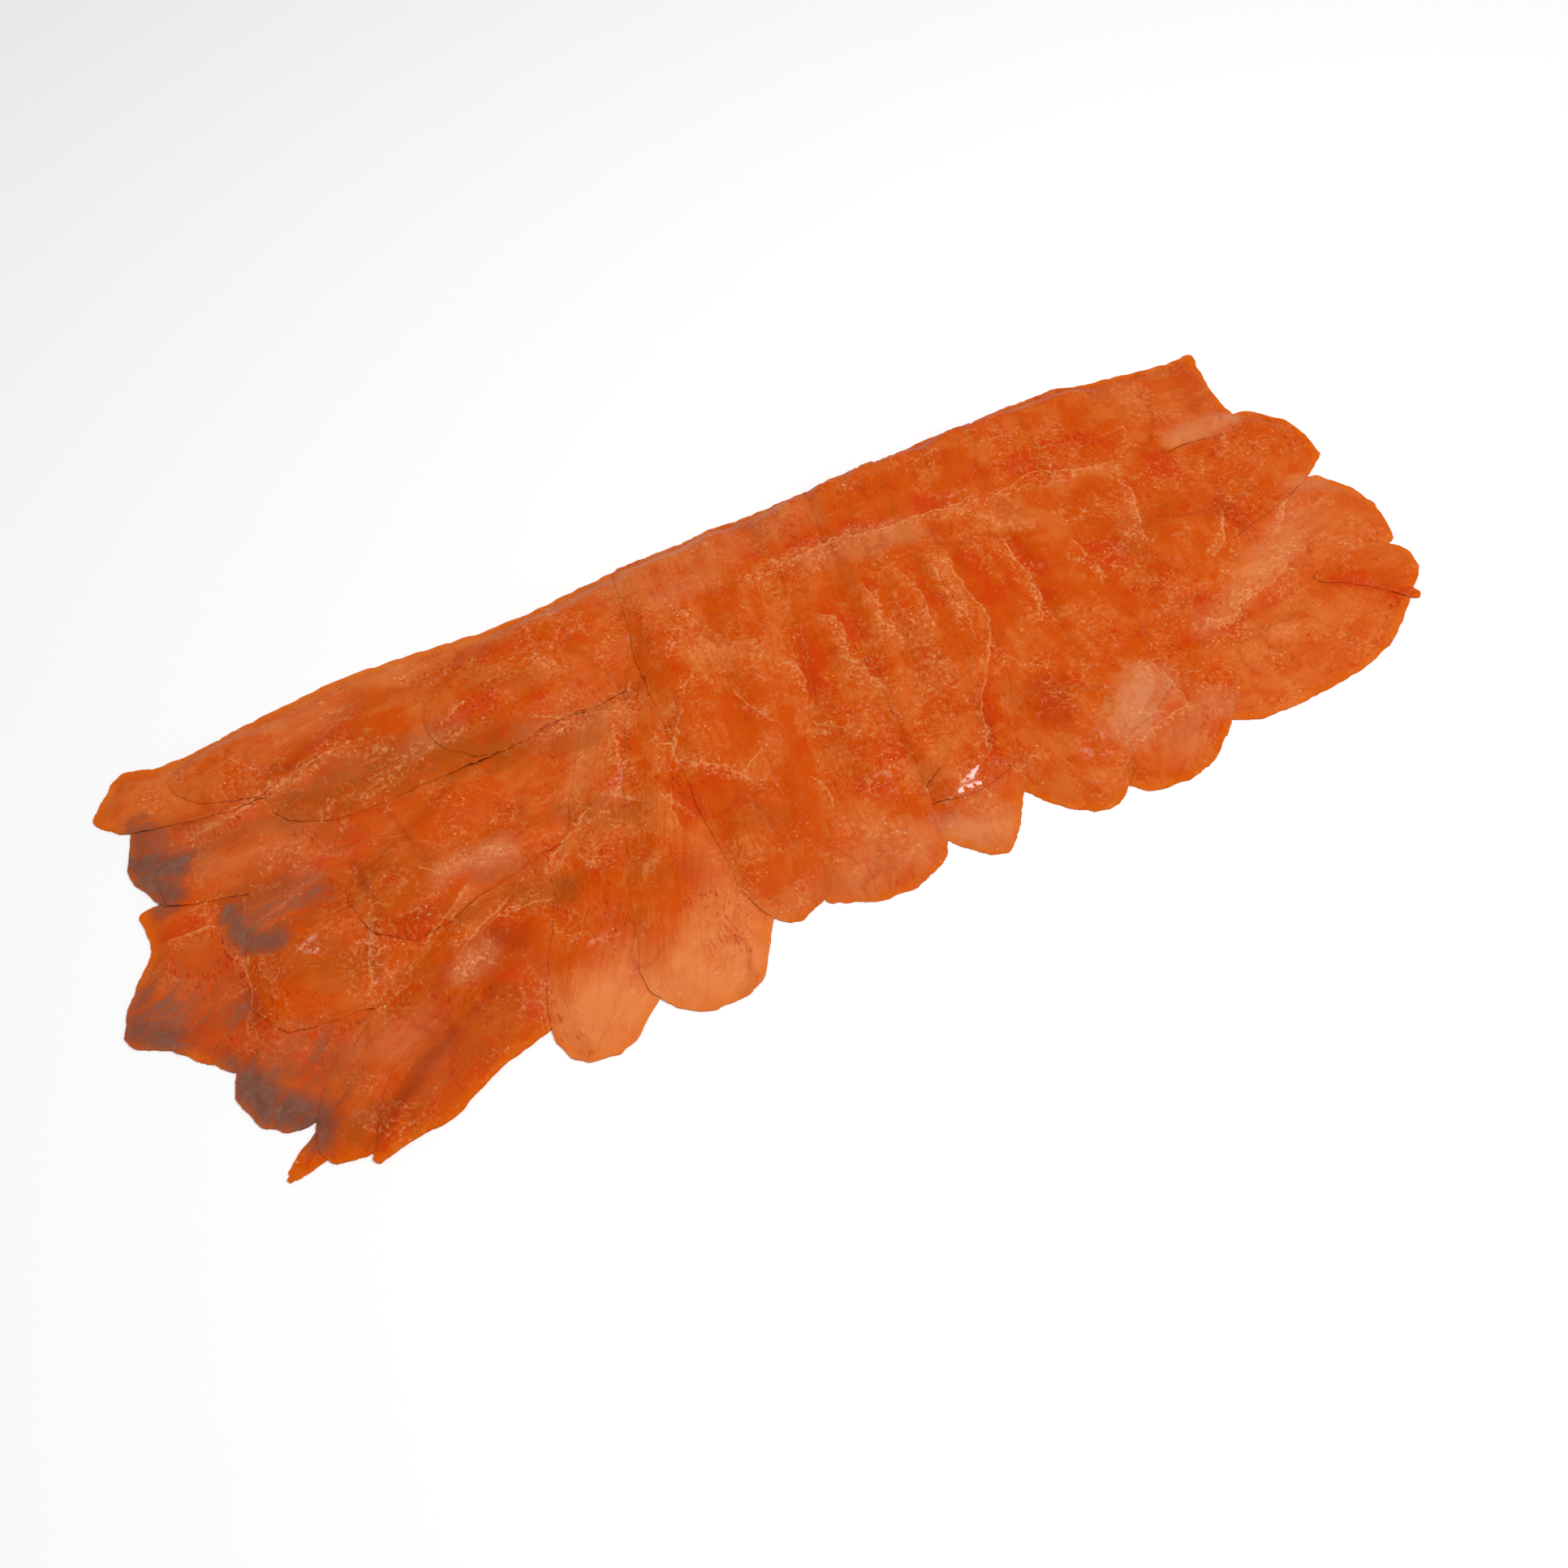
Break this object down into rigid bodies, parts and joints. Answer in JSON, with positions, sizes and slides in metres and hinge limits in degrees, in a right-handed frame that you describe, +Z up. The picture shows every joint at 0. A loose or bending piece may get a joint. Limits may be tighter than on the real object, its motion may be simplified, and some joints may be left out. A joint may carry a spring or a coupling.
{
  "type": "sliced smoked salmon side",
  "caption": "Side of smoked salmon cut into thin slices that lie shingled in the shape of the whole side, ready to be lifted off one by one.",
  "frame": {"origin": "centre of the part's box at the flat level that the slices lie on", "axes": "+X along the side to the end whose broad slices fan out in lobes, +Y to the straight far edge, +Z up"},
  "size_m": [0.5558, 0.214, 0.0146],
  "materials": {
    "salmon_flesh": "moist, satin",
    "brown_salmon_flesh": "moist, satin"
  },
  "bodies": {
    "root": {"right_end_low": "salmon_flesh", "right_end_middle": "salmon_flesh", "right_near_oval": "salmon_flesh", "right_near_shred": "salmon_flesh", "right_far_corner": "salmon_flesh", "left_corner": "salmon_flesh", "left_near_brown": "brown_salmon_flesh", "left_far_brown": "brown_salmon_flesh", "left_far_tip": "salmon_flesh", "far_left_band": "salmon_flesh", "left_bright_oval": "salmon_flesh", "left_brown_notch": "brown_salmon_flesh", "left_middle": "salmon_flesh", "near_left_shred": "salmon_flesh", "near_left_fold": "salmon_flesh", "near_left_strip": "salmon_flesh", "far_shingle_1": "salmon_flesh", "far_shingle_2": "salmon_flesh", "far_shingle_3": "salmon_flesh", "far_shingle_4": "salmon_flesh", "far_shingle_5": "salmon_flesh", "far_shingle_6": "salmon_flesh", "far_shingle_7": "salmon_flesh", "middle_left_1": "salmon_flesh", "middle_left_2": "salmon_flesh", "near_tongue_1": "salmon_flesh", "middle_left_3": "salmon_flesh", "near_tongue_2": "salmon_flesh", "far_shingle_8": "salmon_flesh"}
  },
  "joints": []
}
